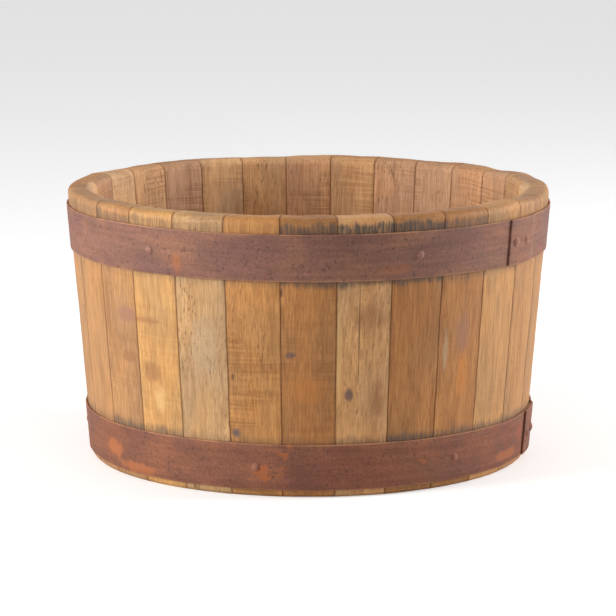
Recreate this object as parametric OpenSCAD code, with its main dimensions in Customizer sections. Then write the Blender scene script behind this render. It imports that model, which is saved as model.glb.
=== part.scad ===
// Coopered wooden tub, wider at the rim than at the foot, bound by two riveted iron hoops.
// It stands on the plane z = 0 with its axis on Z, and its front is the -Y side.
// Staves are counted from the front one to the right, which is anticlockwise from above.

/* [Tub] */
// Outer diameter across the rim
rim_d = 440; // [400:1:520]
// Outer diameter across the foot
foot_d = 400; // [360:1:480]
// Height from the foot to the rim
tub_h = 246; // [180:1:340]
// Number of staves
stave_count = 28; // [24:1:32]
// Thickness of the staves, measured level
stave_t = 24; // [20:1:30]
// Radius of the worn edges of the rim
rim_round = 6; // [2:0.5:8]
// Bevel on both edges of the foot
foot_bevel = 2.5; // [1:0.5:4]
// Eased edge along the outside of each joint
arris = 0.8; // [0.4:0.1:1.5]

/* [Bottom] */
// Number of boards in the head
head_boards = 5; // [3:1:7]
// Thickness of the head boards
head_t = 16; // [12:1:22]
// Width of the bevel that thins the head towards its tongue
head_bevel = 14; // [6:1:24]
// Height of the croze groove above the foot
croze_z = 26; // [20:1:40]
// Width of the croze groove
croze_w = 8; // [5:0.5:10]
// Depth of the croze groove
croze_depth = 7; // [4:0.5:8]
// Diameter of the dowels between the head boards
dowel_d = 8; // [5:0.5:9]
// Length of the dowels between the head boards
dowel_len = 40; // [24:1:44]

/* [Hoops] */
// Width of the hoop iron
hoop_w = 41; // [30:1:60]
// Thickness of the hoop iron
hoop_t = 1.8; // [1.2:0.1:3]
// Wood showing below the lower hoop
foot_to_hoop = 6.5; // [4.5:0.5:30]
// Wood showing above the upper hoop
rim_to_hoop = 14; // [9:0.5:40]
// Length over which the ends of a hoop lap
lap_len = 38; // [34:1:50]
// Length of the step that lifts the outer end over the inner one
joggle_len = 10; // [6:1:16]
// Middle of the upper hoop's lap, in staves to the right of the front one
upper_lap_step = 4.5; // [4:0.25:5.5]
// Middle of the lower hoop's lap, in staves to the right of the front one
lower_lap_step = 6; // [5:0.25:7]

/* [Rivets and nails] */
// Diameter of the lap rivets
rivet_d = 5; // [3:0.5:6]
// Diameter of the rivet heads
rivet_head_d = 9; // [7:0.5:10]
// Height of the rivet heads
rivet_head_h = 2; // [1:0.1:3]
// Distance of each rivet from its end of the lap
rivet_edge = 9.5; // [7:0.5:11]
// Diameter of the hoop nails
nail_d = 3; // [2:0.5:4]
// Length of a nail's shank and point under its head
nail_len = 14; // [9:0.5:14]
// Length of a nail's point
nail_point = 4; // [2:0.5:6]
// Diameter of the nail heads
nail_head_d = 7.5; // [6:0.5:10]
// Height of the nail heads
nail_head_h = 1.4; // [0.8:0.1:2.5]

/* [Fits] */
// Gap between a hoop and the staves, and round the head in the croze
seat_gap = 0.3; // [0.2:0.05:0.5]
// Gap between the two layers of a hoop at its lap
lap_gap = 0.1; // [0.05:0.05:0.3]
// Gap round dowels, nails and rivets in their holes
pin_gap = 0.1; // [0.05:0.05:0.2]
// Extra depth of a hole past the end of its dowel or nail
hole_relief = 1; // [0.5:0.25:2]

/* [Hidden] */
$fn = 180;
pin_fn = 36;
cut = 1;
// The step of a hoop is a hair slimmer than the strip and runs a little way into it
joggle_slim = 0.05;
joggle_root = 0.5;
// Staves that hold a nail, in steps to the right of the front stave
upper_nail_steps = [-3, 2, 8, 13, 19];
lower_nail_steps = [-1, 3, 9, 15, 21];
stave_a = 360 / stave_count;
wall_a = atan((rim_d - foot_d) / 2 / tub_h);
lower_hoop_z = foot_to_hoop;
upper_hoop_z = tub_h - rim_to_hoop - hoop_w;
rim_r = min(rim_round, stave_t / 2 - 1);
croze_r = wall_r(croze_z) - stave_t + croze_depth;
head_r = croze_r - seat_gap;
head_z = croze_z + croze_w / 2 - head_t / 2;
head_top_z = head_z + head_t;
tongue_top_z = croze_z + croze_w - seat_gap;
// The head is thinned back to just inside the staves' inner face
tongue_r = wall_r(min(head_z, croze_z)) - stave_t - seat_gap;
board_w = 2 * head_r / head_boards;
hoop_face = (seat_gap + hoop_t) * cos(wall_a);
lap_face = hoop_face + (lap_gap + hoop_t) * cos(wall_a);
stave_tones = ["#c89a62", "#b7834a", "#a8733c", "#d3ab78", "#bd8f5c"];
board_tones = ["#b08a5e", "#a37c50", "#b89468"];
rust = "#73493a";
dark_rust = "#5f4338";

// Outer radius of the wall at a height
function wall_r(z) = foot_d / 2 + z * (rim_d - foot_d) / 2 / tub_h;

// Angle round the tub that a length takes on the wall at a height
function arc_angle(len, z) = len / wall_r(z) * 180 / PI;

// Section of the hoop iron, from height z0 up, lifted off the wall and slimmed on all sides
function strip_points(z0, lift, slim = 0) = [
    [wall_r(z0 + slim) + lift + slim, z0 + slim],
    [wall_r(z0 + slim) + lift + hoop_t - slim, z0 + slim],
    [wall_r(z0 + hoop_w - slim) + lift + hoop_t - slim, z0 + hoop_w - slim],
    [wall_r(z0 + hoop_w - slim) + lift + slim, z0 + hoop_w - slim]
];

// The same section, slimmed and stood up at an angle round the tub
function strip_corners(z0, lift, angle) = [
    for (p = strip_points(z0, lift, joggle_slim)) [p[0] * cos(angle), p[0] * sin(angle), p[1]]
];

// Places a piece on the outer face of the wall, its Z axis square to the wall and outwards.
// The angle is counted from the front, to the right.
module on_wall(angle, z) {
    rotate([0, 0, angle - 90])
        translate([wall_r(z), 0, z])
            rotate([0, 90 + wall_a, 0])
                children();
}

// Section of a stave: bevelled foot, croze groove, rim worn round on both edges
module stave_section() {
    round_z = tub_h - rim_r;
    outer_c = wall_r(round_z) - rim_r / cos(wall_a);
    inner_c = wall_r(round_z) - stave_t + rim_r / cos(wall_a);
    difference() {
        union() {
            polygon([
                [wall_r(0) - stave_t + foot_bevel, 0],
                [wall_r(0) - foot_bevel, 0],
                [wall_r(foot_bevel), foot_bevel],
                [outer_c + rim_r * cos(wall_a), round_z - rim_r * sin(wall_a)],
                [outer_c, round_z],
                [outer_c, tub_h],
                [inner_c, tub_h],
                [inner_c, round_z],
                [inner_c - rim_r * cos(wall_a), round_z + rim_r * sin(wall_a)],
                [wall_r(foot_bevel) - stave_t, foot_bevel]
            ]);
            translate([outer_c, round_z])
                circle(r = rim_r);
            translate([inner_c, round_z])
                circle(r = rim_r);
        }
        translate([croze_r - stave_t, croze_z])
            square([stave_t, croze_w]);
    }
}

// Bar that eases the outer edge along one joint, at an angle from the front
module joint_easing(angle) {
    bar = arris * sqrt(2);
    bar_len = tub_h / cos(wall_a) + 4 * cut;
    rotate([0, 0, angle - 90])
        translate([wall_r(0), 0, 0])
            rotate([0, wall_a, 0])
                rotate([0, 0, 45])
                    translate([-bar / 2, -bar / 2, -2 * cut])
                        cube([bar, bar, bar_len]);
}

// Holes for the nails of one hoop that this stave holds
module stave_nail_holes(steps, z, i) {
    depth = nail_len + hole_relief - hoop_face;
    for (s = steps) {
        if ((s + stave_count) % stave_count == i - 1)
            on_wall(s * stave_a, z)
                translate([0, 0, -depth])
                    cylinder(d = nail_d + 2 * pin_gap, h = depth + cut, $fn = pin_fn);
    }
}

// One stave, the i-th from the front
module stave(i) {
    middle = (i - 1) * stave_a;
    color(stave_tones[(i * 3) % len(stave_tones)])
        difference() {
            rotate([0, 0, middle - 90 - stave_a / 2])
                rotate_extrude(angle = stave_a)
                    stave_section();
            joint_easing(middle - stave_a / 2);
            joint_easing(middle + stave_a / 2);
            stave_nail_holes(upper_nail_steps, upper_hoop_z + hoop_w / 2, i);
            stave_nail_holes(lower_nail_steps, lower_hoop_z + hoop_w / 2, i);
        }
}

// The whole head before it is sawn into boards: flat faces, thinned to a tongue all round
module head_disc() {
    rotate_extrude()
        polygon([
            [0, head_z],
            [tongue_r - head_bevel, head_z],
            [tongue_r, croze_z],
            [head_r, croze_z],
            [head_r, tongue_top_z],
            [tongue_r, tongue_top_z],
            [tongue_r - head_bevel, head_top_z],
            [0, head_top_z]
        ]);
}

// Places a piece at the middle of each dowel, its Z axis along the dowel
module at_dowels() {
    for (j = [1:head_boards - 1]) {
        y = -head_r + j * board_w;
        half_chord = sqrt(pow(tongue_r - head_bevel, 2) - pow(y, 2));
        for (side = [-1, 1])
            translate([side * half_chord / 2, y, head_z + head_t / 2])
                rotate([90, 0, 0])
                    children();
    }
}

// One head board, the j-th from the front
module head_board(j) {
    color(board_tones[j % len(board_tones)])
        difference() {
            intersection() {
                head_disc();
                translate([-head_r - cut, -head_r + (j - 1) * board_w, head_z - cut])
                    cube([2 * (head_r + cut), board_w, head_t + 2 * cut]);
            }
            at_dowels()
                cylinder(
                    d = dowel_d + 2 * pin_gap,
                    h = dowel_len + 2 * hole_relief,
                    center = true,
                    $fn = pin_fn
                );
        }
}

// Dowels across the joints of the head boards
module head_dowels() {
    color("burlywood")
        at_dowels()
            cylinder(d = dowel_d, h = dowel_len, center = true, $fn = pin_fn);
}

// Step in the strip from the lap's outer layer down to the wall, rooted in both
module joggle(z0, from, to) {
    polyhedron(
        points = concat(
            strip_corners(z0, seat_gap + hoop_t + lap_gap, from),
            strip_corners(z0, seat_gap, to)
        ),
        faces = [
            [0, 3, 2, 1],
            [4, 5, 6, 7],
            [1, 2, 6, 5],
            [0, 4, 7, 3],
            [0, 1, 5, 4],
            [3, 7, 6, 2]
        ]
    );
}

// Places a piece at each of the two rivets of a hoop's lap
module at_rivets(z0, lap_step) {
    z = z0 + hoop_w / 2;
    offset_a = arc_angle(lap_len / 2 - rivet_edge, z);
    for (side = [-1, 1])
        on_wall(lap_step * stave_a + side * offset_a, z)
            children();
}

// One hoop: a strip bent round the tub, its outer end stepped over its inner end
module hoop(z0, lap_step, nail_steps) {
    z = z0 + hoop_w / 2;
    lap_a = arc_angle(lap_len, z);
    joggle_a = arc_angle(joggle_len, z);
    end_gap_a = arc_angle(hole_relief, z);
    root_a = arc_angle(joggle_root, z);
    lap_start = lap_step * stave_a - 90 - lap_a / 2;
    lap_end = lap_start + lap_a;
    difference() {
        union() {
            rotate([0, 0, lap_end + joggle_a])
                rotate_extrude(angle = 360 - joggle_a - end_gap_a)
                    polygon(strip_points(z0, seat_gap));
            rotate([0, 0, lap_start])
                rotate_extrude(angle = lap_a)
                    polygon(strip_points(z0, seat_gap + hoop_t + lap_gap));
            joggle(z0, lap_end - root_a, lap_end + joggle_a + root_a);
        }
        at_rivets(z0, lap_step)
            cylinder(d = rivet_d + 2 * pin_gap, h = 2 * (lap_face + cut), center = true, $fn = pin_fn);
        for (s = nail_steps)
            on_wall(s * stave_a, z)
                cylinder(d = nail_d + 2 * pin_gap, h = 2 * (hoop_face + cut), center = true, $fn = pin_fn);
    }
}

// Low domed head that stands on its flat side
module domed_head(d, h) {
    dome_r = (pow(d / 2, 2) + pow(h, 2)) / (2 * h);
    intersection() {
        translate([0, 0, h - dome_r])
            sphere(r = dome_r, $fn = 2 * pin_fn);
        cylinder(d = d + cut, h = h + cut, $fn = pin_fn);
    }
}

// Rivets of one lap: domed outside, hammered flush with the hoop inside
module lap_rivets(z0, lap_step) {
    inner_face = seat_gap * cos(wall_a);
    at_rivets(z0, lap_step) {
        translate([0, 0, lap_face])
            domed_head(rivet_head_d, rivet_head_h);
        translate([0, 0, inner_face])
            cylinder(d = rivet_d, h = lap_face + rivet_head_h / 2 - inner_face, $fn = pin_fn);
    }
}

// Nails of one hoop, driven through it into the staves
module hoop_nails(z0, nail_steps) {
    for (s = nail_steps)
        on_wall(s * stave_a, z0 + hoop_w / 2)
            translate([0, 0, hoop_face]) {
                domed_head(nail_head_d, nail_head_h);
                translate([0, 0, nail_point - nail_len])
                    cylinder(d = nail_d, h = nail_len - nail_point + nail_head_h / 2, $fn = pin_fn);
                translate([0, 0, -nail_len])
                    cylinder(d1 = nail_d / 4, d2 = nail_d, h = nail_point, $fn = pin_fn);
            }
}

module upper_hoop() {
    color(rust)
        hoop(upper_hoop_z, upper_lap_step, upper_nail_steps);
}

module lower_hoop() {
    color(rust)
        hoop(lower_hoop_z, lower_lap_step, lower_nail_steps);
}

module upper_hoop_rivets() {
    color(dark_rust)
        lap_rivets(upper_hoop_z, upper_lap_step);
}

module lower_hoop_rivets() {
    color(dark_rust)
        lap_rivets(lower_hoop_z, lower_lap_step);
}

module upper_hoop_nails() {
    color(dark_rust)
        hoop_nails(upper_hoop_z, upper_nail_steps);
}

module lower_hoop_nails() {
    color(dark_rust)
        hoop_nails(lower_hoop_z, lower_nail_steps);
}

for (i = [1:stave_count]) {
    stave(i);
}
for (j = [1:head_boards]) {
    head_board(j);
}
head_dowels();
upper_hoop();
lower_hoop();
upper_hoop_rivets();
lower_hoop_rivets();
upper_hoop_nails();
lower_hoop_nails();
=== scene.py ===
import math
import random

import bmesh
import bpy
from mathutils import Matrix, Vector


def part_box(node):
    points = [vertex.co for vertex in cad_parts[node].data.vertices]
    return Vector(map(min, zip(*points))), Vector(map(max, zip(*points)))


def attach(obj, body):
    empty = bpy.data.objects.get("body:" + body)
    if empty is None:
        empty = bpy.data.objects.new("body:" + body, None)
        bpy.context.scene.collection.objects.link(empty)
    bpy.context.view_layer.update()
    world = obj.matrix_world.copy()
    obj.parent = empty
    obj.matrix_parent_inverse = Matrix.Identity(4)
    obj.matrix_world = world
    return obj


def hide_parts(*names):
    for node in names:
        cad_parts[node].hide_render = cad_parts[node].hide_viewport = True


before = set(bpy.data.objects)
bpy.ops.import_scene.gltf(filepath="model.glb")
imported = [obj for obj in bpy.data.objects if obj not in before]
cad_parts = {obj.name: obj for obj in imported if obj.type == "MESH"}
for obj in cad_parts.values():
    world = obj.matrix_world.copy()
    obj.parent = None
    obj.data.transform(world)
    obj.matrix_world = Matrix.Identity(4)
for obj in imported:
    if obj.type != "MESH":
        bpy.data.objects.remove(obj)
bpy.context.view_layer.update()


# Staves. The wall is made of upright boards, wider at the rim than at the foot, planed to a bevel
# on both edges and held side by side by the hoops. Each has a groove (the croze) near its foot for
# the bottom, and its upper end is worn round.
stave_nodes = sorted(
    (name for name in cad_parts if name.startswith("stave_")),
    key=lambda name: int(name.split("_")[1]),
)
stave_turn = math.tau / len(stave_nodes)
tub_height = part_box("stave_1")[1][2]
rim_radius = 0.220
foot_radius = 0.200
stave_thickness = 0.024
rim_rounding = 0.0065
foot_bevel = 0.0025
croze_bottom = 0.026
croze_top = 0.034
croze_depth = 0.007
joint_bevel = 0.0008
course_height = 0.007
stave_columns = 8


def wall_radius(height):
    """Radius of the wall's outer face at a height."""
    return foot_radius + (rim_radius - foot_radius) * height / tub_height


def leave_edit_mode():
    """Goes back to object mode, with nothing selected."""
    if bpy.context.object and bpy.context.object.mode == "EDIT":
        bpy.ops.object.mode_set(mode="OBJECT")
    bpy.ops.object.select_all(action="DESELECT")


def take(piece):
    """Makes the piece the only selected one."""
    leave_edit_mode()
    piece.select_set(True)
    bpy.context.view_layer.objects.active = piece


def pick(kind, wanted):
    """Selects only those vertices, edges or faces of the piece in edit mode that are wanted."""
    bpy.ops.mesh.select_mode(type={"verts": "VERT", "edges": "EDGE", "faces": "FACE"}[kind])
    bpy.ops.mesh.select_all(action="DESELECT")
    mesh = bmesh.from_edit_mesh(bpy.context.object.data)
    for part in getattr(mesh, kind):
        part.select_set(wanted(part))
    mesh.select_flush_mode()
    bmesh.update_edit_mesh(bpy.context.object.data)


def new_section(name, width, height, place):
    """Stands a flat rectangle upright in the plane x = 0, in edit mode, to be spun round the tub."""
    leave_edit_mode()
    bpy.ops.mesh.primitive_plane_add(size=1, location=place, rotation=(0, math.pi / 2, 0))
    piece = bpy.context.object
    piece.name = name
    piece.scale = (height, width, 1)
    bpy.ops.object.transform_apply(location=True, rotation=True, scale=True)
    bpy.ops.object.mode_set(mode="EDIT")
    return piece


def spin_right(turn, steps):
    """Spins the selected face round the tub's axis, to the right as seen from the front."""
    bpy.ops.mesh.spin(steps=steps, angle=-turn, center=(0, 0, 0), axis=(0, 0, 1))


def cut_level(height):
    """Cuts the selected faces along a level line."""
    bpy.ops.mesh.bisect(plane_co=(0, 0, height), plane_no=(0, 0, 1))


def close_shell():
    """Merges doubled points and turns all faces outwards."""
    bpy.ops.mesh.select_all(action="SELECT")
    bpy.ops.mesh.remove_doubles(threshold=1e-6)
    bpy.ops.mesh.normals_make_consistent(inside=False)


def turn_in_place(piece, turn):
    """Turns the piece round the tub's axis and keeps its place in its mesh."""
    take(piece)
    piece.rotation_euler = (0, 0, turn)
    bpy.ops.object.transform_apply(location=True, rotation=True, scale=True)


def copy_piece(pattern, name):
    """Copies a piece with its own mesh."""
    take(pattern)
    bpy.ops.object.duplicate()
    piece = bpy.context.object
    piece.name = name
    piece.data.name = name
    return piece


def finish_with(piece, kind, **settings):
    """Adds a modifier to the piece and applies it."""
    take(piece)
    modifier = piece.modifiers.new(kind.title(), kind)
    for setting, value in settings.items():
        setattr(modifier, setting, value)
    bpy.ops.object.modifier_apply(modifier=modifier.name)


def smooth(piece, angle=30):
    """Shades the piece smooth across edges under an angle in degrees."""
    take(piece)
    bpy.ops.object.shade_smooth_by_angle(angle=math.radians(angle))


def weigh(piece, group_name, weight_of):
    """Gives each point of the piece a weight in a vertex group."""
    group = piece.vertex_groups.new(name=group_name)
    for point in piece.data.vertices:
        group.add([point.index], weight_of(point), "REPLACE")


def unevenness(name, size, depth=2):
    """Cloudy texture of a grain size in metres, for wear and hand work."""
    texture = bpy.data.textures.new(name, "CLOUDS")
    texture.noise_scale = size
    texture.noise_depth = depth
    return texture


stave_pattern = new_section(
    "stave_pattern",
    stave_thickness,
    tub_height,
    (0, stave_thickness / 2 - foot_radius, tub_height / 2),
)
pick("verts", lambda point: point.co.z > tub_height / 2)
bpy.ops.transform.translate(value=(0, foot_radius - rim_radius, 0))
bpy.ops.mesh.bevel(offset=rim_rounding, segments=5, affect="VERTICES")
pick("verts", lambda point: point.co.z < 0.001)
bpy.ops.mesh.bevel(offset=foot_bevel, segments=1, affect="VERTICES")
bpy.ops.mesh.select_all(action="SELECT")
cut_level(croze_bottom)
bpy.ops.mesh.select_all(action="SELECT")
cut_level(croze_top)
croze_back = wall_radius(croze_bottom) - stave_thickness + croze_depth
pick("faces", lambda face: croze_bottom < face.calc_center_median().z < croze_top)
bpy.ops.mesh.bisect(plane_co=(0, -croze_back, 0), plane_no=(0, 1, 0))
pick(
    "faces",
    lambda face: croze_bottom < face.calc_center_median().z < croze_top
    and face.calc_center_median().y > -croze_back,
)
bpy.ops.mesh.delete(type="FACE")
bpy.ops.mesh.select_all(action="SELECT")
spin_right(stave_turn, steps=stave_columns)
course_count = round(tub_height / course_height)
for course in range(1, course_count):
    bpy.ops.mesh.select_all(action="SELECT")
    cut_level(course * tub_height / course_count)
close_shell()
bpy.ops.mesh.select_all(action="DESELECT")
bpy.ops.mesh.select_mode(type="EDGE")
bpy.ops.mesh.edges_select_sharp(sharpness=math.radians(35))
bpy.ops.mesh.bevel(offset=joint_bevel, segments=2, affect="EDGES")
leave_edit_mode()
turn_in_place(stave_pattern, -stave_turn / 2)


def across(point):
    """Place of a point of the front stave between its joints, from -1 to 1."""
    return math.atan2(point.co.x, -point.co.y) / (stave_turn / 2)


def under_face(point):
    """Depth of a point of a stave under the wall's outer face."""
    return wall_radius(point.co.z) - math.hypot(point.co.x, point.co.y)


def in_croze(point):
    """Whether a point of a stave is in the croze or at its edge."""
    return croze_bottom - 0.002 < point.co.z < croze_top + 0.002


weigh(
    stave_pattern,
    "faces",
    lambda point: 0 if abs(across(point)) > 0.96 or in_croze(point) else 1,
)
weigh(stave_pattern, "rim", lambda point: min(1, max(0, point.co.z - 0.225) / 0.016))
weigh(
    stave_pattern,
    "arris",
    lambda point: 1 if 0.95 < abs(across(point)) < 0.985 and under_face(point) < 0.002 else 0,
)
hand_planing = unevenness("hand_planing", 0.045)
rim_wear = unevenness("rim_wear", 0.05, 1)
arris_wear = unevenness("arris_wear", 0.012)


def tone(red, green, blue):
    """Colour as it is seen, from 0 to 255, in the linear values that materials take."""
    seen = (red / 255, green / 255, blue / 255)
    return tuple(c / 12.92 if c <= 0.04045 else ((c + 0.055) / 1.055) ** 2.4 for c in seen) + (1,)


def add(tree, kind, **values):
    """Adds a shader node. Sockets are given by name, other settings in lower case."""
    node = tree.nodes.new("ShaderNode" + kind)
    for name, value in values.items():
        if name[0].islower():
            setattr(node, name, value)
            continue
        socket = node.inputs[name.replace("_", " ")]
        if isinstance(value, bpy.types.NodeSocket):
            tree.links.new(value, socket)
        else:
            socket.default_value = value
    return node


def feed(tree, node, *values):
    """Gives values or sockets to a node's inputs in their order."""
    for socket, value in zip(node.inputs, values):
        if isinstance(value, bpy.types.NodeSocket):
            tree.links.new(value, socket)
        elif value is not None:
            socket.default_value = value
    return node


def calc(tree, operation, *values, clamp=False):
    """Result of a Math node."""
    node = add(tree, "Math", operation=operation, use_clamp=clamp)
    return feed(tree, node, *values).outputs[0]


def vector_calc(tree, operation, *values):
    """Result of a Vector Math node."""
    node = feed(tree, add(tree, "VectorMath", operation=operation), *values)
    return node.outputs["Value" if operation == "LENGTH" else "Vector"]


def between(tree, value, low, high, out_low=0.0, out_high=1.0):
    """Smooth change from out_low to out_high while the value goes from low to high."""
    node = add(tree, "MapRange", interpolation_type="SMOOTHSTEP")
    return feed(tree, node, value, low, high, out_low, out_high).outputs[0]


def stretched(tree, vector, scale):
    """Coordinates stretched by a scale along each axis, in features a metre."""
    return add(tree, "Mapping", Vector=vector, Scale=scale).outputs[0]


def clouds(tree, vector, scale, detail=2.0, roughness=0.5, distortion=0.0):
    """Noise with a number of features a metre along each axis, about 0.5 on average."""
    place = stretched(tree, vector, scale)
    return add(
        tree,
        "TexNoise",
        Vector=place,
        Scale=1.0,
        Detail=detail,
        Roughness=roughness,
        Distortion=distortion,
    ).outputs[0]


def tint(tree, amount, under, over, blend="MIX"):
    """Colour under, with the colour over laid on it by an amount."""
    node = add(tree, "Mix", data_type="RGBA", blend_type=blend, clamp_factor=True)
    for socket, value in ((0, amount), (6, under), (7, over)):
        if isinstance(value, bpy.types.NodeSocket):
            tree.links.new(value, node.inputs[socket])
        else:
            node.inputs[socket].default_value = value
    return node.outputs[2]


def shader_group(name, inputs, outputs):
    """New shader node group with the given sockets: its tree, its inputs and its output node."""
    tree = bpy.data.node_groups.new(name, "ShaderNodeTree")
    kinds = {"vector": "NodeSocketVector", "colour": "NodeSocketColor", "value": "NodeSocketFloat"}
    for socket, kind in inputs.items():
        tree.interface.new_socket(name=socket, in_out="INPUT", socket_type=kinds[kind])
    for socket, kind in outputs.items():
        tree.interface.new_socket(name=socket, in_out="OUTPUT", socket_type=kinds[kind])
    return tree, tree.nodes.new("NodeGroupInput").outputs, tree.nodes.new("NodeGroupOutput")


def put_out(tree, output_node, **sockets):
    """Links sockets to a group's outputs."""
    for name, socket in sockets.items():
        tree.links.new(socket, output_node.inputs[name])


def use_group(tree, group, **values):
    """Places a node group in a material with its values."""
    node = add(tree, "Group", node_tree=group)
    for name, value in values.items():
        socket = node.inputs[name.replace("_", " ")]
        if isinstance(value, bpy.types.NodeSocket):
            tree.links.new(value, socket)
        else:
            socket.default_value = value
    return node.outputs


def new_material(name):
    """New material: its tree and its Principled shader."""
    material = bpy.data.materials.new(name)
    material.use_nodes = True
    shader = material.node_tree.nodes["Principled BSDF"]
    return material, material.node_tree, shader


def build_sawn_wood():
    """Old sawn wood with its fibres along Z: streaks, fine fibres, pores and saw marks."""
    tree, given, out = shader_group(
        "sawn_wood",
        {
            "Vector": "vector",
            "Tone": "colour",
            "Streaks": "value",
            "Flecks": "value",
            "Saw marks": "value",
        },
        {"Color": "colour", "Height": "value", "Fibre": "value"},
    )
    place = given["Vector"]
    sway = clouds(tree, place, (9, 9, 6), 1)
    sway = calc(tree, "MULTIPLY", calc(tree, "SUBTRACT", sway, 0.5), 0.012)
    swayed = vector_calc(tree, "ADD", place, add(tree, "CombineXYZ", X=sway, Y=sway).outputs[0])
    patches = between(tree, clouds(tree, swayed, (24, 24, 11), 3), 0.38, 0.62)
    streaks = between(tree, clouds(tree, swayed, (120, 120, 6), 4, 0.6), 0.4, 0.66)
    fibre = between(tree, clouds(tree, swayed, (620, 620, 17), 4, 0.65), 0.34, 0.66)
    pores = between(tree, clouds(tree, swayed, (900, 900, 120), 1.5), 0.60, 0.68)
    crowded = between(tree, clouds(tree, place, (30, 30, 13), 2), 0.40, 0.62, 0.25, 1.0)
    arc = calc(tree, "MULTIPLY", clouds(tree, place, (7, 7, 3), 1), 0.02)
    arced = vector_calc(tree, "ADD", place, add(tree, "CombineXYZ", Z=arc).outputs[0])
    saw = between(tree, clouds(tree, arced, (12, 12, 430), 2, 0.6), 0.40, 0.62)
    sawn = between(tree, clouds(tree, place, (16, 16, 20), 2), 0.42, 0.60)

    colour = given["Tone"]
    warm = tint(tree, patches, (1.10, 1.05, 0.97, 1), (0.90, 0.91, 0.95, 1))
    colour = tint(tree, 1.0, colour, warm, "MULTIPLY")
    dark_streak = calc(tree, "MULTIPLY", streaks, given["Streaks"])
    colour = tint(tree, dark_streak, colour, tint(tree, 1.0, colour, (0.70, 0.60, 0.50, 1), "MULTIPLY"))
    pale_fibre = tint(tree, fibre, (0.84, 0.80, 0.74, 1), (1.13, 1.13, 1.12, 1))
    colour = tint(tree, 1.0, colour, pale_fibre, "MULTIPLY")
    saw_depth = calc(tree, "MULTIPLY", calc(tree, "MULTIPLY", saw, sawn), given["Saw marks"])
    colour = tint(tree, saw_depth, colour, tint(tree, 1.0, colour, (0.74, 0.68, 0.60, 1), "MULTIPLY"))
    fleck_depth = calc(tree, "MULTIPLY", calc(tree, "MULTIPLY", pores, crowded), given["Flecks"])
    colour = tint(tree, fleck_depth, colour, tint(tree, 1.0, colour, (0.42, 0.36, 0.31, 1), "MULTIPLY"))

    raised = calc(tree, "MULTIPLY_ADD", fibre, 0.35, calc(tree, "MULTIPLY", saw_depth, -0.6))
    height = calc(tree, "SUBTRACT", raised, calc(tree, "MULTIPLY", fleck_depth, 0.5))
    put_out(tree, out, Color=colour, Height=height, Fibre=fibre)
    return tree


def build_patch():
    """Mark with a ragged edge round a centre, such as a knot, a smudge or a rust spot."""
    tree, given, out = shader_group(
        "patch",
        {
            "Color": "colour",
            "Vector": "vector",
            "Centre": "vector",
            "Size": "vector",
            "Mark": "colour",
            "Strength": "value",
            "Ragged": "value",
        },
        {"Color": "colour"},
    )
    away = vector_calc(tree, "SUBTRACT", given["Vector"], given["Centre"])
    away = vector_calc(tree, "DIVIDE", away, given["Size"])
    distance = vector_calc(tree, "LENGTH", away)
    ragged = clouds(tree, given["Vector"], (150, 150, 90), 3, 0.6)
    ragged = calc(tree, "MULTIPLY", calc(tree, "SUBTRACT", ragged, 0.5), given["Ragged"])
    edge = between(tree, calc(tree, "ADD", distance, ragged), 0.45, 1.05, 1.0, 0.0)
    amount = calc(tree, "MULTIPLY", edge, given["Strength"])
    put_out(tree, out, Color=tint(tree, amount, given["Color"], given["Mark"]))
    return tree


def build_wall_place():
    """Where a point of the front stave is: depth under the outer face, place across and height."""
    tree, given, out = shader_group(
        "wall_place",
        {"Vector": "vector"},
        {"Depth": "value", "Across": "value", "Height": "value"},
    )
    axes = feed(tree, add(tree, "SeparateXYZ"), given["Vector"]).outputs
    outwards = calc(tree, "MULTIPLY", axes["Y"], -1.0)
    level = add(tree, "CombineXYZ", X=axes["X"], Y=axes["Y"]).outputs[0]
    radius = vector_calc(tree, "LENGTH", level)
    growth = (rim_radius - foot_radius) / tub_height
    wall = calc(tree, "MULTIPLY_ADD", axes["Z"], growth, foot_radius)
    turn = calc(tree, "ARCTAN2", axes["X"], outwards)
    put_out(
        tree,
        out,
        Depth=calc(tree, "SUBTRACT", wall, radius),
        Across=calc(tree, "DIVIDE", turn, stave_turn / 2),
        Height=calc(tree, "ADD", axes["Z"], 0.0),
    )
    return tree


sawn_wood = build_sawn_wood()
patch = build_patch()
wall_place = build_wall_place()

upper_hoop_bottom = 0.191
upper_hoop_top = 0.232
lower_hoop_bottom = 0.0065
lower_hoop_top = 0.0475


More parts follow.
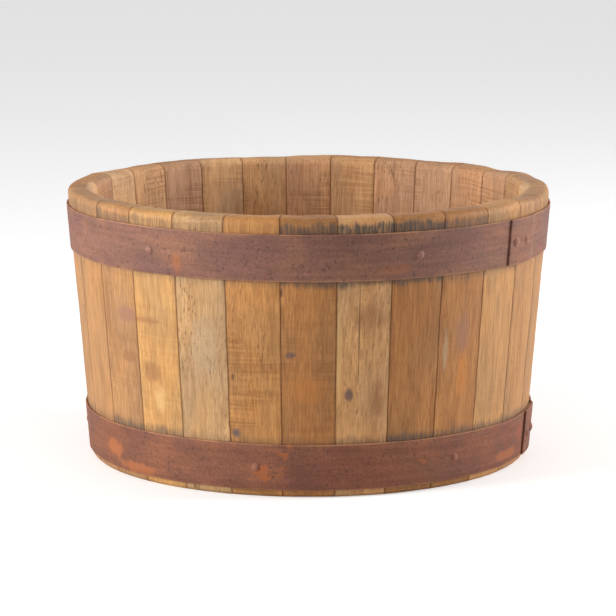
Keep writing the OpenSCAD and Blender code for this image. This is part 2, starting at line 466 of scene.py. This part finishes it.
def build_iron_stain():
    """Blue-black stain that wet iron leaves in the wood beside the hoops."""
    tree, given, out = shader_group(
        "iron_stain",
        {
            "Color": "colour",
            "Vector": "vector",
            "Height": "value",
            "Depth": "value",
            "Fibre": "value",
            "Above": "value",
            "Below": "value",
            "Foot": "value",
        },
        {"Color": "colour"},
    )
    ragged = clouds(tree, given["Vector"], (170, 170, 60), 3, 0.6)
    soaked = clouds(tree, given["Vector"], (45, 45, 40), 2)
    reach = calc(tree, "MULTIPLY_ADD", ragged, 0.012, calc(tree, "MULTIPLY", soaked, 0.010))
    height = given["Height"]

    over_upper = calc(tree, "SUBTRACT", height, upper_hoop_top)
    above = between(tree, calc(tree, "ADD", over_upper, reach), 0.016, 0.021, 1.0, 0.0)
    above = calc(tree, "MULTIPLY", above, calc(tree, "GREATER_THAN", over_upper, -0.004))
    above = calc(tree, "MULTIPLY", above, given["Above"])

    under_upper = calc(tree, "SUBTRACT", upper_hoop_bottom, height)
    below = between(tree, calc(tree, "ADD", under_upper, reach), 0.012, 0.019, 1.0, 0.0)
    below = calc(tree, "MULTIPLY", below, calc(tree, "GREATER_THAN", under_upper, -0.004))
    below = calc(tree, "MULTIPLY", below, given["Below"])

    over_lower = calc(tree, "SUBTRACT", height, lower_hoop_top)
    foot = between(tree, calc(tree, "ADD", over_lower, reach), 0.012, 0.020, 1.0, 0.0)
    foot = calc(tree, "MULTIPLY", foot, calc(tree, "GREATER_THAN", over_lower, -0.004))
    foot = calc(tree, "MULTIPLY", foot, given["Foot"])

    amount = calc(tree, "MAXIMUM", calc(tree, "MAXIMUM", above, below), foot)
    along_fibre = between(tree, given["Fibre"], 0.2, 0.9, 1.0, 0.62)
    amount = calc(tree, "MULTIPLY", amount, along_fibre, clamp=True)
    outside = between(tree, given["Depth"], 0.003, 0.006, 1.0, 0.0)
    amount = calc(tree, "MULTIPLY", amount, outside)
    put_out(tree, out, Color=tint(tree, amount, given["Color"], tone(74, 66, 62)))
    return tree


iron_stain = build_iron_stain()

honey = (185, 138, 88)
golden = (190, 145, 90)
pale = (198, 152, 104)
greyed = (182, 145, 102)
brown = (168, 117, 68)
ochre = (181, 130, 76)
tan = (172, 128, 84)
pinkish = (180, 137, 102)

smudge_brown = tone(140, 92, 56)
smudge_mauve = tone(150, 104, 84)
knot_mauve = tone(98, 76, 72)
stain_blue = tone(82, 78, 80)
bright_wood = tone(214, 172, 112)
orange_wood = tone(196, 122, 52)
grey_wood = tone(176, 150, 118)
dark_line = tone(84, 54, 34)

random.seed(28)
plain_tones = [honey, golden, pale, greyed, brown, ochre, tan, pinkish]
stave_looks = {
    number: {
        "tone": random.choice(plain_tones),
        "inner": random.choice([(205, 164, 122), (200, 156, 112), (214, 172, 128), (196, 150, 112)]),
        "streaks": random.uniform(0.2, 0.6),
        "flecks": random.uniform(0.3, 0.9),
        "saw": random.uniform(0.2, 0.8),
        "above": random.uniform(0.2, 0.8),
        "below": random.uniform(0.2, 0.7),
        "foot": random.uniform(0.2, 0.8),
        "marks": [],
    }
    for number in range(1, len(stave_nodes) + 1)
}


def look(step, **changes):
    """Sets how one stave looks. Steps are counted from the front stave to the right."""
    stave_looks[step % len(stave_nodes) + 1].update(changes)


look(-6, tone=tan, streaks=0.4, flecks=0.3, saw=0.2, above=0.3, below=0.1, foot=0.5)
look(-5, tone=tan, streaks=0.4, flecks=0.2, saw=0.1, above=0.3, below=0.1, foot=0.3)
look(
    -4,
    tone=tan,
    streaks=0.35,
    flecks=0.35,
    saw=0.25,
    above=0.55,
    below=0.15,
    foot=0.75,
    marks=[
        (11, 150, 16, 9, smudge_mauve, 0.75, 0.8),
        (-18, 150, 4, 30, smudge_brown, 0.5, 0.6),
        (10, 112, 14, 7, smudge_brown, 0.5, 0.9),
    ],
)
look(
    -3,
    tone=golden,
    streaks=0.3,
    flecks=0.4,
    saw=0.3,
    above=0.5,
    below=0.3,
    foot=0.7,
    marks=[
        (-8, 102, 14, 12, smudge_brown, 0.6, 0.9),
        (-10, 148, 22, 3, smudge_brown, 0.5, 0.6),
        (0, 78, 9, 16, bright_wood, 0.6, 0.8),
    ],
)
look(
    -2,
    tone=greyed,
    streaks=0.45,
    flecks=1.0,
    saw=0.35,
    above=0.3,
    below=0.35,
    foot=0.3,
    marks=[(2, 130, 16, 34, grey_wood, 0.5, 0.8)],
)
look(
    -1,
    tone=ochre,
    streaks=0.4,
    flecks=0.6,
    saw=0.9,
    above=0.15,
    below=0.3,
    foot=0.35,
    marks=[(-17, 56, 6, 6, stain_blue, 0.85, 0.6), (-19, 106, 2, 4, dark_line, 0.7, 0.6)],
)
look(
    0,
    tone=brown,
    streaks=0.4,
    flecks=0.35,
    saw=0.5,
    above=0.75,
    below=0.75,
    foot=0.3,
    marks=[
        (-15, 127, 6, 3.5, knot_mauve, 0.8, 0.8),
        (-23, 181, 1.2, 5, dark_line, 0.9, 0.3),
        (0, 96, 22, 16, orange_wood, 0.3, 1.0),
    ],
)
look(
    1,
    tone=pale,
    streaks=0.45,
    flecks=0.6,
    saw=0.2,
    above=0.9,
    below=0.8,
    foot=0.6,
    marks=[
        (-12, 91, 5, 8, knot_mauve, 0.85, 0.8),
        (14, 86, 9, 20, smudge_brown, 0.55, 1.0),
        (4, 158, 20, 14, smudge_brown, 0.45, 1.0),
        (-4, 150, 0.8, 60, dark_line, 0.7, 0.2),
        (-21, 120, 3, 60, bright_wood, 0.5, 0.5),
    ],
)
look(2, tone=brown, streaks=0.5, flecks=0.5, saw=0.15, above=0.9, below=0.8, foot=0.85)
look(
    3,
    tone=brown,
    streaks=0.5,
    flecks=0.4,
    saw=0.15,
    above=0.7,
    below=0.4,
    foot=0.7,
    marks=[
        (3, 138, 11, 22, smudge_mauve, 0.6, 0.9),
        (-16, 124, 3, 22, grey_wood, 0.6, 0.6),
        (4, 100, 8, 26, orange_wood, 0.5, 0.8),
    ],
)
look(4, tone=honey, streaks=0.3, flecks=0.35, saw=0.15, above=0.3, below=0.5, foot=0.75)
look(5, tone=tan, streaks=0.5, flecks=0.4, saw=0.1, above=0.1, below=0.1, foot=0.6)
look(6, tone=tan, streaks=0.4, flecks=0.3, saw=0.1, above=0.1, below=0.1, foot=0.4)


def stave_material(number, turn, looks):
    """Old golden-brown wood, paler inside and on the rim, stained beside the hoops, with dirt and
    painted shade along the joints.
    """
    material, tree, shader = new_material(f"stave_{number}_wood")
    place = add(tree, "TexCoord").outputs["Object"]
    front = add(tree, "Mapping", Vector=place, Rotation=(0, 0, -turn)).outputs[0]
    where = use_group(tree, wall_place, Vector=front)
    grain_place = add(tree, "Mapping", Vector=front, Location=(number * 0.37, 0, number * 0.61))
    inner = between(tree, where["Depth"], stave_thickness - 0.008, stave_thickness - 0.004)
    base = tint(tree, inner, tone(*looks["tone"]), tone(*looks["inner"]))
    saw_marks = between(tree, inner, 0, 1, looks["saw"], 0.8)
    wood = use_group(
        tree,
        sawn_wood,
        Vector=grain_place.outputs[0],
        Tone=base,
        Streaks=looks["streaks"],
        Flecks=looks["flecks"],
        Saw_marks=saw_marks,
    )
    colour = wood["Color"]
    outer_face = -wall_radius(tub_height / 2) - 0.002
    for x, z, half_width, half_height, mark, strength, ragged in looks["marks"]:
        colour = use_group(
            tree,
            patch,
            Color=colour,
            Vector=front,
            Centre=(x / 1000, outer_face, z / 1000),
            Size=(half_width / 1000, 0.02, half_height / 1000),
            Mark=mark,
            Strength=strength,
            Ragged=ragged,
        )["Color"]
    colour = use_group(
        tree,
        iron_stain,
        Color=colour,
        Vector=place,
        Height=where["Height"],
        Depth=where["Depth"],
        Fibre=wood["Fibre"],
        Above=looks["above"],
        Below=looks["below"],
        Foot=looks["foot"],
    )["Color"]
    # Dirt and painted shade in the joints: each stave is darkened towards both its edges, the same on
    # every stave.
    edge = calc(tree, "ABSOLUTE", where["Across"])
    joint_dirt_and_shade = between(tree, edge, 0.93, 1.0, 0.0, 0.7)
    colour = tint(tree, joint_dirt_and_shade, colour, tint(tree, 1.0, colour, (0.45, 0.36, 0.28, 1), "MULTIPLY"))
    tree.links.new(colour, shader.inputs["Base Color"])
    shader.inputs["Roughness"].default_value = 0.62
    shader.inputs["Specular IOR Level"].default_value = 0.35
    bump = add(tree, "Bump", Strength=0.6, Distance=0.0005, Height=wood["Height"])
    tree.links.new(bump.outputs[0], shader.inputs["Normal"])
    return material


for number, node_name in enumerate(stave_nodes, start=1):
    turn = (number - 1) * stave_turn
    stave = copy_piece(stave_pattern, f"wall_{node_name}")
    turn_in_place(stave, turn)
    finish_with(
        stave,
        "DISPLACE",
        texture=hand_planing,
        texture_coords="LOCAL",
        direction="NORMAL",
        vertex_group="faces",
        strength=0.0009,
        mid_level=0.6,
    )
    finish_with(
        stave,
        "DISPLACE",
        texture=rim_wear,
        texture_coords="LOCAL",
        direction="Z",
        vertex_group="rim",
        strength=0.004,
        mid_level=0.55,
    )
    finish_with(
        stave,
        "DISPLACE",
        texture=arris_wear,
        texture_coords="LOCAL",
        direction="NORMAL",
        vertex_group="arris",
        strength=0.0012,
        mid_level=0.7,
    )
    stave.vertex_groups.clear()
    smooth(stave)
    stave.data.materials.clear()
    stave.data.materials.append(stave_material(number, turn, stave_looks[number]))
    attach(stave, "root")
    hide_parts(node_name)
bpy.data.objects.remove(stave_pattern)


# Head. The tub's bottom is five boards, dowelled edge to edge, cut to a circle and thinned at the
# edge to a tongue that sits in the croze.
board_nodes = sorted(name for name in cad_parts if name.startswith("head_board_"))
head_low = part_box("head_board_3")[0][2]
head_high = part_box("head_board_3")[1][2]
head_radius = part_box("head_board_3")[1][0]
tongue_low = croze_bottom
tongue_high = croze_top - 0.0003
tongue_root = wall_radius(head_low) - stave_thickness - 0.0003
flat_radius = tongue_root - 0.014
board_edge_bevel = 0.0007
head_sides = 160


def grow_ring(radius, new_radius, height):
    """Extrudes the selected face, then widens and lifts it, as on a lathe."""
    bpy.ops.mesh.extrude_region_move()
    factor = new_radius / radius
    bpy.ops.transform.resize(value=(factor, factor, 1), center_override=(0, 0, 0))
    bpy.ops.transform.translate(value=(0, 0, height))


leave_edit_mode()
bpy.ops.mesh.primitive_circle_add(
    vertices=head_sides,
    radius=flat_radius,
    fill_type="NGON",
    location=(0, 0, head_low),
)
head_pattern = bpy.context.object
bpy.ops.object.transform_apply(location=True, rotation=True, scale=True)
bpy.ops.object.mode_set(mode="EDIT")
bpy.ops.mesh.select_all(action="SELECT")
grow_ring(flat_radius, tongue_root, tongue_low - head_low)
grow_ring(tongue_root, head_radius, 0)
grow_ring(head_radius, head_radius, tongue_high - tongue_low)
grow_ring(head_radius, tongue_root, 0)
grow_ring(tongue_root, flat_radius, head_high - tongue_high)
close_shell()
leave_edit_mode()


def head_material(number):
    """Floor board of old wood, darkened by use, with its fibres along X."""
    material, tree, shader = new_material(f"head_board_{number}_wood")
    place = add(tree, "TexCoord").outputs["Object"]
    along = add(
        tree,
        "Mapping",
        Vector=place,
        Rotation=(0, math.pi / 2, 0),
        Location=(number * 0.41, number * 0.23, number * 0.17),
    ).outputs[0]
    board_tone = [(176, 132, 88), (166, 120, 76), (184, 142, 98)][number % 3]
    wood = use_group(
        tree,
        sawn_wood,
        Vector=along,
        Tone=tone(*board_tone),
        Streaks=0.5,
        Flecks=0.6,
        Saw_marks=0.5,
    )
    damp = between(tree, clouds(tree, place, (14, 14, 14), 3), 0.45, 0.62, 0.0, 0.5)
    colour = tint(tree, damp, wood["Color"], tone(112, 84, 62))
    tree.links.new(colour, shader.inputs["Base Color"])
    shader.inputs["Roughness"].default_value = 0.68
    shader.inputs["Specular IOR Level"].default_value = 0.35
    bump = add(tree, "Bump", Strength=0.6, Distance=0.0005, Height=wood["Height"])
    tree.links.new(bump.outputs[0], shader.inputs["Normal"])
    return material


for number, node_name in enumerate(board_nodes, start=1):
    board = copy_piece(head_pattern, f"floor_{node_name}")
    bpy.ops.object.mode_set(mode="EDIT")
    low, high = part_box(node_name)
    for side, outwards in ((low[1], -1), (high[1], 1)):
        if abs(side) > head_radius - 0.001:
            continue
        bpy.ops.mesh.select_all(action="SELECT")
        bpy.ops.mesh.bisect(
            plane_co=(0, side, 0),
            plane_no=(0, outwards, 0),
            use_fill=True,
            clear_outer=True,
        )
    close_shell()
    bpy.ops.mesh.select_all(action="DESELECT")
    bpy.ops.mesh.select_mode(type="EDGE")
    bpy.ops.mesh.edges_select_sharp(sharpness=math.radians(70))
    bpy.ops.mesh.bevel(offset=board_edge_bevel, segments=2, affect="EDGES")
    leave_edit_mode()
    smooth(board)
    board.data.materials.clear()
    board.data.materials.append(head_material(number))
    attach(board, "root")
    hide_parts(node_name)
bpy.data.objects.remove(head_pattern)


# Head dowels. Round pegs of pale wood in the edges of the head boards, hidden once the head is
# together.
material, tree, shader = new_material("dowel_wood")
place = add(tree, "TexCoord").outputs["Object"]
along = add(tree, "Mapping", Vector=place, Rotation=(math.pi / 2, 0, 0)).outputs[0]
wood = use_group(
    tree,
    sawn_wood,
    Vector=along,
    Tone=tone(206, 168, 118),
    Streaks=0.2,
    Flecks=0.3,
    Saw_marks=0.0,
)
tree.links.new(wood["Color"], shader.inputs["Base Color"])
shader.inputs["Roughness"].default_value = 0.6
bump = add(tree, "Bump", Strength=0.4, Distance=0.0003, Height=wood["Height"])
tree.links.new(bump.outputs[0], shader.inputs["Normal"])
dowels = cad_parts["head_dowels"]
dowels.data.materials.clear()
dowels.data.materials.append(material)


# Hoops. Two flat iron strips bent round the wall and driven down tight. The outer end of each is
# stepped over the inner end and riveted to it. The iron is dull and brown with rust all over.
hoop_width = 0.041
hoop_thickness = 0.0018
seat_gap = 0.0003
lap_gap = 0.0001
lap_length = 0.038
joggle_length = 0.010
end_gap = 0.001
hoop_edge_bevel = 0.0004
lap_steps = 12
joggle_steps = 6
ring_steps = 250
strip_rows = 8


def arc_turn(length, height):
    """Turn round the tub that a length takes on the wall at a height."""
    return length / wall_radius(height)


def build_rust():
    """Rusty iron: brown and purple mottling, orange bloom, fine pits and worn edges."""
    tree, given, out = shader_group(
        "rusty_iron",
        {
            "Vector": "vector",
            "Tone": "colour",
            "Bloom": "value",
            "Bottom": "value",
            "Top": "value",
        },
        {"Color": "colour", "Height": "value", "Roughness": "value"},
    )
    place = given["Vector"]
    height = feed(tree, add(tree, "SeparateXYZ"), place).outputs["Z"]
    mottle = between(tree, clouds(tree, place, (28, 28, 34), 4, 0.6), 0.36, 0.64)
    purple = between(tree, clouds(tree, place, (16, 16, 30), 2), 0.42, 0.62)
    rolled = clouds(tree, place, (14, 14, 260), 3, 0.6)
    speckle = clouds(tree, place, (520, 520, 520), 3, 0.7)
    pits = between(tree, clouds(tree, place, (300, 300, 300), 2), 0.60, 0.70)
    bloom = clouds(tree, place, (42, 42, 60), 4, 0.62)

    colour = given["Tone"]
    mottling = tint(tree, mottle, (0.86, 0.85, 0.86, 1), (1.14, 1.13, 1.08, 1))
    colour = tint(tree, 1.0, colour, mottling, "MULTIPLY")
    violet = tint(tree, 1.0, colour, (0.86, 0.82, 0.96, 1), "MULTIPLY")
    colour = tint(tree, calc(tree, "MULTIPLY", purple, 0.8), colour, violet)
    lines = between(tree, rolled, 0.35, 0.65, 0.90, 1.08)
    lines = add(tree, "CombineColor", Red=lines, Green=lines, Blue=lines).outputs[0]
    colour = tint(tree, 1.0, colour, lines, "MULTIPLY")
    grains = between(tree, speckle, 0.36, 0.64, 0.86, 1.12)
    grains = add(tree, "CombineColor", Red=grains, Green=grains, Blue=grains).outputs[0]
    colour = tint(tree, 1.0, colour, grains, "MULTIPLY")
    threshold = calc(tree, "SUBTRACT", 0.78, calc(tree, "MULTIPLY", given["Bloom"], 0.3))
    orange = between(tree, calc(tree, "SUBTRACT", bloom, threshold), 0.0, 0.08, 0.0, 0.7)
    colour = tint(tree, orange, colour, tone(164, 92, 50))
    colour = tint(tree, calc(tree, "MULTIPLY", pits, 0.5), colour, tone(70, 48, 42))
    from_top = calc(tree, "SUBTRACT", given["Top"], height)
    from_bottom = calc(tree, "SUBTRACT", height, given["Bottom"])
    top_edge = between(tree, from_top, 0.0004, 0.0013, 0.55, 0.0)
    bottom_edge = between(tree, from_bottom, 0.0004, 0.0016, 0.35, 0.0)
    worn = calc(tree, "MAXIMUM", top_edge, bottom_edge)
    worn = calc(tree, "MULTIPLY", worn, between(tree, mottle, 0.0, 0.8, 0.4, 1.0))
    colour = tint(tree, worn, colour, tone(192, 138, 98))

    rough_iron = calc(tree, "MULTIPLY_ADD", speckle, 0.6, calc(tree, "MULTIPLY", pits, -0.7))
    rough_iron = calc(tree, "MULTIPLY_ADD", bloom, 0.5, rough_iron)
    put_out(
        tree,
        out,
        Color=colour,
        Height=rough_iron,
        Roughness=between(tree, mottle, 0.0, 1.0, 0.62, 0.80),
    )
    return tree


rusty_iron = build_rust()
iron_pitting = unevenness("iron_pitting", 0.018, 3)
hoop_waver = unevenness("hoop_waver", 0.09, 1)


def hoop_material(name, iron_tone, bottom, bloom, spots):
    """Rusty iron with orange spots, each given by its angle from the front and its height."""
    material, tree, shader = new_material(name)
    place = add(tree, "TexCoord").outputs["Object"]
    rust = use_group(
        tree,
        rusty_iron,
        Vector=place,
        Tone=tone(*iron_tone),
        Bloom=bloom,
        Bottom=bottom,
        Top=bottom + hoop_width,
    )
    colour = rust["Color"]
    for angle, height, half_width, half_height, mark, strength in spots:
        turn = math.radians(angle)
        radius = wall_radius(height)
        colour = use_group(
            tree,
            patch,
            Color=colour,
            Vector=place,
            Centre=(radius * math.sin(turn), -radius * math.cos(turn), height),
            Size=(half_width, half_width, half_height),
            Mark=mark,
            Strength=strength,
            Ragged=1.2,
        )["Color"]
    tree.links.new(colour, shader.inputs["Base Color"])
    tree.links.new(rust["Roughness"], shader.inputs["Roughness"])
    shader.inputs["Specular IOR Level"].default_value = 0.3
    bump = add(tree, "Bump", Strength=0.5, Distance=0.0004, Height=rust["Height"])
    tree.links.new(bump.outputs[0], shader.inputs["Normal"])
    return material


def faces_out(point):
    """Whether a point of a hoop is on its outer side."""
    return point.normal.x * point.co.x + point.normal.y * point.co.y > 0


def bend_hoop(name, bottom, lap_middle):
    """Bends one hoop from its lap's outer layer, down the step and once round the wall."""
    middle = bottom + hoop_width / 2
    strip_radius = wall_radius(bottom) + seat_gap + hoop_thickness + lap_gap
    hoop = new_section(
        name,
        hoop_thickness,
        hoop_width,
        (0, -strip_radius - hoop_thickness / 2, middle),
    )
    pick("verts", lambda point: point.co.z > middle)
    lean = wall_radius(hoop_width) - wall_radius(0)
    bpy.ops.transform.translate(value=(0, -lean, 0))
    bpy.ops.mesh.select_mode(type="FACE")
    bpy.ops.mesh.select_all(action="SELECT")
    lap_turn = arc_turn(lap_length, middle)
    joggle_turn = arc_turn(joggle_length, middle)
    spin_right(lap_turn, steps=lap_steps)
    drop = (hoop_thickness + lap_gap) / joggle_steps
    for _ in range(joggle_steps):
        spin_right(joggle_turn / joggle_steps, steps=1)
        factor = 1 - drop / strip_radius
        bpy.ops.transform.resize(value=(factor, factor, 1), center_override=(0, 0, 0))
    ring_turn = math.tau - joggle_turn - arc_turn(end_gap, middle)
    spin_right(ring_turn, steps=ring_steps)
    for level in range(1, strip_rows):
        bpy.ops.mesh.select_all(action="SELECT")
        cut_level(bottom + hoop_width * level / strip_rows)
    close_shell()
    bpy.ops.mesh.select_all(action="DESELECT")
    bpy.ops.mesh.select_mode(type="EDGE")
    bpy.ops.mesh.edges_select_sharp(sharpness=math.radians(50))
    bpy.ops.mesh.bevel(offset=hoop_edge_bevel, segments=2, affect="EDGES")
    leave_edit_mode()
    turn_in_place(hoop, lap_middle - lap_turn / 2)
    weigh(hoop, "outer", lambda point: 1 if faces_out(point) else 0)
    finish_with(
        hoop,
        "DISPLACE",
        texture=iron_pitting,
        texture_coords="LOCAL",
        direction="NORMAL",
        vertex_group="outer",
        strength=0.0005,
        mid_level=0.65,
    )
    finish_with(
        hoop,
        "DISPLACE",
        texture=hoop_waver,
        texture_coords="LOCAL",
        direction="Z",
        strength=0.0014,
        mid_level=0.5,
    )
    hoop.vertex_groups.clear()
    smooth(hoop)
    return hoop


rust_orange = tone(176, 104, 58)
rust_red = tone(150, 78, 52)

upper_hoop = bend_hoop("upper_hoop_iron", upper_hoop_bottom, 4.5 * stave_turn)
upper_hoop.data.materials.clear()
upper_hoop.data.materials.append(
    hoop_material(
        "upper_hoop_rust",
        (132, 92, 75),
        upper_hoop_bottom,
        0.25,
        [
            (-84, 0.215, 0.010, 0.016, rust_orange, 0.7),
            (-31, 0.205, 0.006, 0.014, rust_orange, 0.45),
            (20, 0.200, 0.016, 0.006, rust_orange, 0.25),
        ],
    )
)
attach(upper_hoop, "root")
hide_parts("upper_hoop")

lower_hoop = bend_hoop("lower_hoop_iron", lower_hoop_bottom, 6 * stave_turn)
lower_hoop.data.materials.clear()
lower_hoop.data.materials.append(
    hoop_material(
        "lower_hoop_rust",
        (128, 81, 60),
        lower_hoop_bottom,
        0.5,
        [
            (-58, 0.024, 0.018, 0.010, rust_orange, 0.7),
            (-48, 0.012, 0.030, 0.006, rust_orange, 0.6),
            (60, 0.016, 0.030, 0.006, rust_orange, 0.5),
            (68, 0.032, 0.008, 0.012, rust_red, 0.6),
        ],
    )
)
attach(lower_hoop, "root")
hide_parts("lower_hoop")


# Rivets and nails. Two rivets close the lap of each hoop, and five round-headed nails hold it to
# the staves. They are of the same rusty iron as the hoops.
def fastener_material(name, iron_tone, bottom):
    """Rusty iron for small heads, as on the hoops but without orange spots."""
    return hoop_material(name, iron_tone, bottom, 0.3, [])


for hoop_name, iron_tone, bottom in (
    ("upper_hoop", (148, 104, 88), upper_hoop_bottom),
    ("lower_hoop", (140, 90, 72), lower_hoop_bottom),
):
    material = fastener_material(f"{hoop_name}_fasteners", iron_tone, bottom)
    for kind in ("rivets", "nails"):
        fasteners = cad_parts[f"{hoop_name}_{kind}"]
        fasteners.data.materials.clear()
        fasteners.data.materials.append(material)


# Floor. A pale studio floor that stays white to the camera and keeps the tub's shadow.
leave_edit_mode()
bpy.ops.mesh.primitive_plane_add(size=30, location=(0, 0, 0))
floor = bpy.context.object
floor.name = "floor"
material, tree, shader = new_material("pale_floor")
shader.inputs["Base Color"].default_value = (0.82, 0.82, 0.82, 1)
shader.inputs["Roughness"].default_value = 0.9
to_camera = add(tree, "LightPath").outputs["Is Camera Ray"]
shader.inputs["Emission Color"].default_value = (1, 1, 1, 1)
tree.links.new(calc(tree, "MULTIPLY", to_camera, 0.35), shader.inputs["Emission Strength"])
floor.data.materials.append(material)


# Light. Two large soft lamps at the sides, the left one stronger, and an even pale surround.
world = bpy.data.worlds.new("studio")
world.use_nodes = True
bpy.context.scene.world = world
tree = world.node_tree
tree.nodes.clear()
surround_strength = 0.42
rays = add(tree, "LightPath").outputs
seen = calc(tree, "MAXIMUM", rays["Is Camera Ray"], rays["Is Glossy Ray"])
seen = calc(tree, "MAXIMUM", seen, rays["Is Transmission Ray"])
strength = calc(tree, "MULTIPLY_ADD", seen, 1.0 - surround_strength, surround_strength)
background = add(tree, "Background", Color=(1, 1, 1, 1), Strength=strength)
surround = add(tree, "OutputWorld")
tree.links.new(background.outputs[0], surround.inputs["Surface"])


def soft_lamp(name, angle, elevation, distance, size, power):
    """Square lamp facing the tub, at an angle from the front to the right."""
    turn, rise = math.radians(angle), math.radians(elevation)
    light = bpy.data.lights.new(name, "AREA")
    light.size = size
    light.energy = power
    lamp = bpy.data.objects.new(name, light)
    lamp.location = (
        distance * math.cos(rise) * math.sin(turn),
        -distance * math.cos(rise) * math.cos(turn),
        distance * math.sin(rise),
    )
    lamp.rotation_euler = (Vector((0, 0, 0.12)) - lamp.location).to_track_quat("-Z", "Y").to_euler()
    bpy.context.collection.objects.link(lamp)


soft_lamp("left_lamp", -68, 20, 2.5, 1.2, 62)
soft_lamp("right_lamp", 95, 20, 2.5, 1.2, 54)


# Camera. It stands 2.64 m in front of the tub and looks down at it by ten degrees.
camera_distance = 2.64
camera_elevation = math.radians(10.05)
focal_pixels = 2863
picture_pixels = 616
tub_middle = Vector((-0.0004, 0, tub_height / 2))
aim_lift = 0.0074

camera_data = bpy.data.cameras.new("camera")
camera_data.sensor_width = 36
camera_data.lens = focal_pixels / picture_pixels * camera_data.sensor_width
camera = bpy.data.objects.new("camera", camera_data)
bpy.context.collection.objects.link(camera)
look_up = Vector((0, math.sin(camera_elevation), math.cos(camera_elevation)))
backwards = Vector((0, -math.cos(camera_elevation), math.sin(camera_elevation)))
camera.location = tub_middle + camera_distance * backwards + aim_lift * look_up
camera.rotation_euler = (math.pi / 2 - camera_elevation, 0, 0)
bpy.context.scene.camera = camera
bpy.context.scene.view_settings.view_transform = "Standard"
